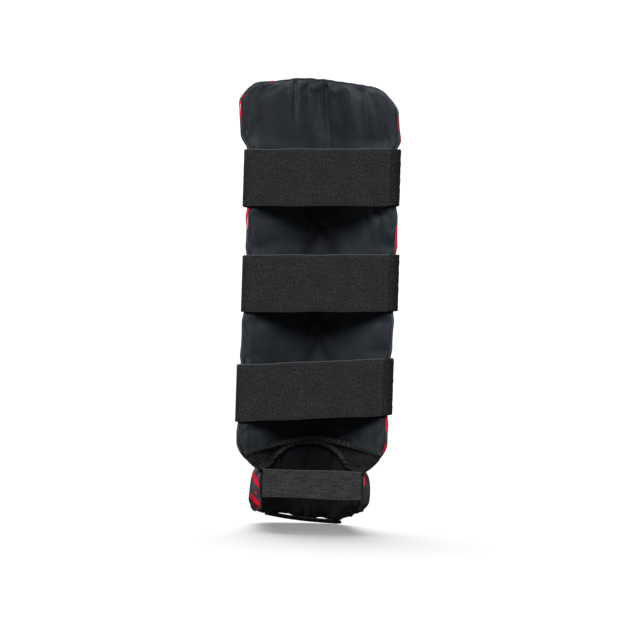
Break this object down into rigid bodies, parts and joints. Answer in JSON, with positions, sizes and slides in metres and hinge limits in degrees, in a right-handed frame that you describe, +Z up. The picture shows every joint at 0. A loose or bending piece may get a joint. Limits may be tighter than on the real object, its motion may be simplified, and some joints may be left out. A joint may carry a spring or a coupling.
{
  "type": "shin and instep guard",
  "caption": "Padded shin and instep guard with a foam-filled leg channel, elastic leg straps with hook tape ends, a gathered ankle and a hinged instep pad",
  "frame": {"origin": "middle of the guard's footprint, on the plane through its lowest point (the toe loop)", "axes": "+Z up along the shin, +Y from the leg towards the front of the guard and the toes, +X to the side where the hook tape closes"},
  "size_m": [0.1398, 0.1437, 0.4006],
  "materials": {
    "lining": "satin nylon cloth, slightly puckered",
    "comfort_foam": "soft open foam",
    "impact_foam": "dense closed-cell foam",
    "cover": "grained synthetic leather, satin",
    "welt": "folded and stitched synthetic leather",
    "elastic": "woven elastic webbing",
    "sole_elastic": "lighter woven elastic webbing",
    "hook": "nylon hook tape",
    "loop": "nylon loop tape",
    "gather": "ruched stretch cloth",
    "thread": "nylon thread"
  },
  "bodies": {
    "shin_pad": {"shin_lining": "lining", "shin_comfort_foam": "comfort_foam", "shin_impact_foam": "impact_foam", "shin_cover": "cover", "shin_edge_welt": "welt", "bolster_foam": "impact_foam", "bolster_cover": "cover", "loop_patch_top": "loop", "loop_patch_mid": "loop", "loop_patch_low": "loop", "strap_anchor_top": "elastic", "strap_anchor_mid": "elastic", "strap_anchor_low": "elastic", "anchor_stitches": "thread"},
    "instep": {"ankle_gather": "gather", "ankle_elastic": "elastic", "instep_lining": "lining", "instep_foam": "impact_foam", "instep_cover": "cover", "instep_edge_welt": "welt", "instep_bolster_foam": "impact_foam", "instep_bolster_cover": "cover", "sole_strap": "sole_elastic", "sole_strap_stitches": "thread", "toe_loop": "elastic"},
    "strap_top": {"leg_strap_top": "elastic"},
    "tape_top": {"hook_tape_top": "elastic", "hook_field_top": "hook"},
    "strap_mid": {"leg_strap_mid": "elastic"},
    "tape_mid": {"hook_tape_mid": "elastic", "hook_field_mid": "hook"},
    "strap_low": {"leg_strap_low": "elastic"},
    "tape_low": {"hook_tape_low": "elastic", "hook_field_low": "hook"}
  },
  "joints": [
    {"name": "top_strap_open", "type": "hinge", "parent": "shin_pad", "child": "strap_top", "pos_m": [-0.0593, -0.07085, 0.31136], "axis": [0, 0, -1], "range_deg": [0, 90]},
    {"name": "top_tape_peel", "type": "hinge", "parent": "strap_top", "child": "tape_top", "pos_m": [0.0593, -0.07085, 0.31136], "axis": [0, 0, -1], "range_deg": [0, 112.5]},
    {"name": "mid_strap_open", "type": "hinge", "parent": "shin_pad", "child": "strap_mid", "pos_m": [-0.0593, -0.07085, 0.21936], "axis": [0, 0, -1], "range_deg": [0, 90]},
    {"name": "mid_tape_peel", "type": "hinge", "parent": "strap_mid", "child": "tape_mid", "pos_m": [0.0593, -0.07085, 0.21936], "axis": [0, 0, -1], "range_deg": [0, 112.5]},
    {"name": "low_strap_open", "type": "hinge", "parent": "shin_pad", "child": "strap_low", "pos_m": [-0.0593, -0.07085, 0.12636], "axis": [0, 0, -1], "range_deg": [0, 90]},
    {"name": "low_tape_peel", "type": "hinge", "parent": "strap_low", "child": "tape_low", "pos_m": [0.0593, -0.07085, 0.12636], "axis": [0, 0, -1], "range_deg": [0, 112.5]},
    {"name": "ankle_flex", "type": "hinge", "parent": "shin_pad", "child": "instep", "pos_m": [0, -0.019, 0.07836], "axis": [1, 0, 0], "range_deg": [-5, 35], "deforming": ["ankle_gather", "ankle_elastic"]}
  ],
  "couplings": [
    {"joint": "top_tape_peel", "follows": "top_strap_open", "ratio": 1.25},
    {"joint": "mid_tape_peel", "follows": "mid_strap_open", "ratio": 1.25},
    {"joint": "low_tape_peel", "follows": "low_strap_open", "ratio": 1.25}
  ]
}
